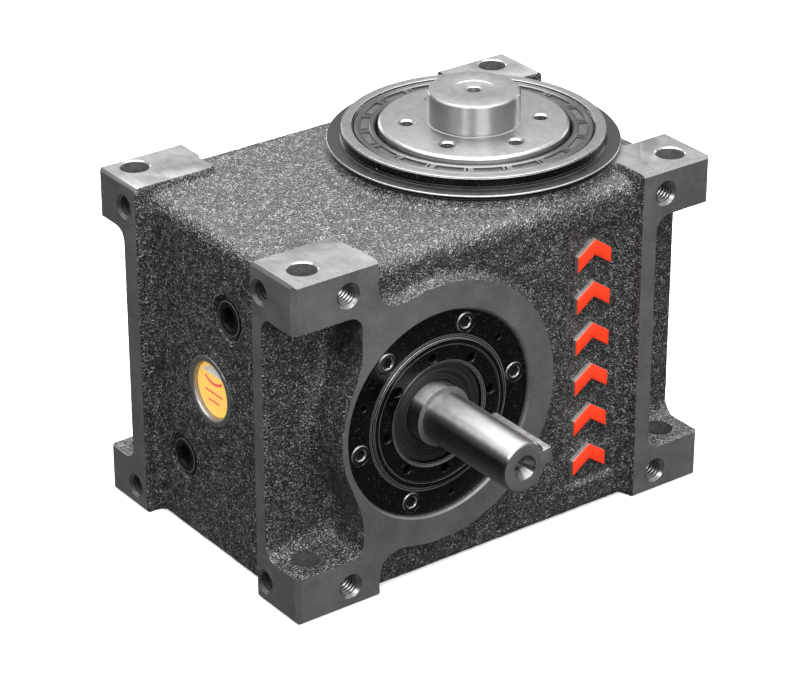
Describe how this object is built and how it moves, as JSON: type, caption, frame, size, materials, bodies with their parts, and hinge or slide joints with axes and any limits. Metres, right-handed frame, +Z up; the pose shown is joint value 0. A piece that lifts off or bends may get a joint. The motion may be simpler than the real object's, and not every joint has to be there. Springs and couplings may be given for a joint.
{
  "type": "roller gear cam drive",
  "caption": "Right-angle cam drive: a keyed input shaft with a globoidal cam turns a turret of cam followers and its vertical output flange, in a cast housing with bolting lugs.",
  "frame": {"origin": "centre of the bounding box's base, level with the undersides of the lower lugs", "axes": "+Z up along the output axis, +X along the long side away from the sight glass, -Y the way the input shaft points"},
  "size_m": [0.243, 0.2246, 0.201],
  "materials": {
    "cast_iron": "rough as-cast charcoal skin, ground faces on the lugs",
    "blackened_steel": "turned and oxide-blackened, oiled",
    "ground_steel": "turned and ground bright",
    "hardened_steel": "hardened and ground",
    "seal_rubber": "moulded nitrile rubber",
    "seal_case": "pressed steel case",
    "bezel_metal": "machined",
    "sight_window": "clear",
    "sight_disc": "amber level disc"
  },
  "bodies": {
    "housing_body": {"housing": "cast_iron", "front_bearing_cap": "blackened_steel", "front_cap_screw_1": "blackened_steel", "front_cap_screw_2": "blackened_steel", "front_cap_screw_3": "blackened_steel", "front_cap_screw_4": "blackened_steel", "front_cap_screw_5": "blackened_steel", "front_cap_screw_6": "blackened_steel", "front_adjusting_ring": "blackened_steel", "front_oil_seal": "seal_rubber", "rear_bearing_cap": "blackened_steel", "rear_cap_screw_1": "blackened_steel", "rear_cap_screw_2": "blackened_steel", "rear_cap_screw_3": "blackened_steel", "rear_cap_screw_4": "blackened_steel", "rear_cap_screw_5": "blackened_steel", "rear_cap_screw_6": "blackened_steel", "input_bearing_front_outer": "hardened_steel", "input_bearing_rear_outer": "hardened_steel", "output_bearing_upper_outer": "hardened_steel", "output_bearing_lower_outer": "hardened_steel", "output_bearing_carrier": "blackened_steel", "output_seal": "seal_case", "bottom_cover": "blackened_steel", "bottom_cover_screw_1": "blackened_steel", "bottom_cover_screw_2": "blackened_steel", "bottom_cover_screw_3": "blackened_steel", "bottom_cover_screw_4": "blackened_steel", "sight_glass_bezel": "bezel_metal", "sight_glass_window": "sight_window", "sight_glass_reflector": "sight_disc", "filler_plug": "blackened_steel", "drain_plug": "blackened_steel"},
    "input": {"input_shaft": "ground_steel", "input_key": "hardened_steel", "cam_key": "hardened_steel", "cam_spacer": "hardened_steel", "roller_gear_cam": "hardened_steel", "input_bearing_front_inner": "hardened_steel", "input_bearing_rear_inner": "hardened_steel"},
    "output": {"output_flange": "ground_steel", "follower_turret": "hardened_steel", "follower_stud_1": "hardened_steel", "follower_stud_2": "hardened_steel", "follower_stud_3": "hardened_steel", "follower_stud_4": "hardened_steel", "follower_stud_5": "hardened_steel", "follower_stud_6": "hardened_steel", "output_bearing_upper_inner": "hardened_steel", "output_bearing_lower_inner": "hardened_steel"},
    "roller_1": {"follower_roller_1": "ground_steel"},
    "roller_2": {"follower_roller_2": "ground_steel"},
    "roller_3": {"follower_roller_3": "ground_steel"},
    "roller_4": {"follower_roller_4": "ground_steel"},
    "roller_5": {"follower_roller_5": "ground_steel"},
    "roller_6": {"follower_roller_6": "ground_steel"}
  },
  "joints": [
    {"name": "output_turn", "type": "hinge", "parent": "housing_body", "child": "output", "pos_m": [0.0405, 0.03125, 0.085], "axis": [0, 0, 1], "continuous": true},
    {"name": "input_turn", "type": "hinge", "parent": "housing_body", "child": "input", "pos_m": [-0.0395, 0.03125, 0.085], "axis": [0, 1, 0], "continuous": true},
    {"name": "roller_1_spin", "type": "hinge", "parent": "output", "child": "roller_1", "pos_m": [-0.0095, 0.03125, 0.085], "axis": [-1, 0, 0], "continuous": true},
    {"name": "roller_2_spin", "type": "hinge", "parent": "output", "child": "roller_2", "pos_m": [0.0155, -0.01205, 0.085], "axis": [-0.5, -0.866, 0], "continuous": true},
    {"name": "roller_3_spin", "type": "hinge", "parent": "output", "child": "roller_3", "pos_m": [0.0655, -0.01205, 0.085], "axis": [0.5, -0.866, 0], "continuous": true},
    {"name": "roller_4_spin", "type": "hinge", "parent": "output", "child": "roller_4", "pos_m": [0.0905, 0.03125, 0.085], "axis": [1, 0, 0], "continuous": true},
    {"name": "roller_5_spin", "type": "hinge", "parent": "output", "child": "roller_5", "pos_m": [0.0655, 0.07455, 0.085], "axis": [0.5, 0.866, 0], "continuous": true},
    {"name": "roller_6_spin", "type": "hinge", "parent": "output", "child": "roller_6", "pos_m": [0.0155, 0.07455, 0.085], "axis": [-0.5, 0.866, 0], "continuous": true}
  ],
  "couplings": [
    {"joint": "input_turn", "follows": "output_turn", "ratio": 6}
  ]
}
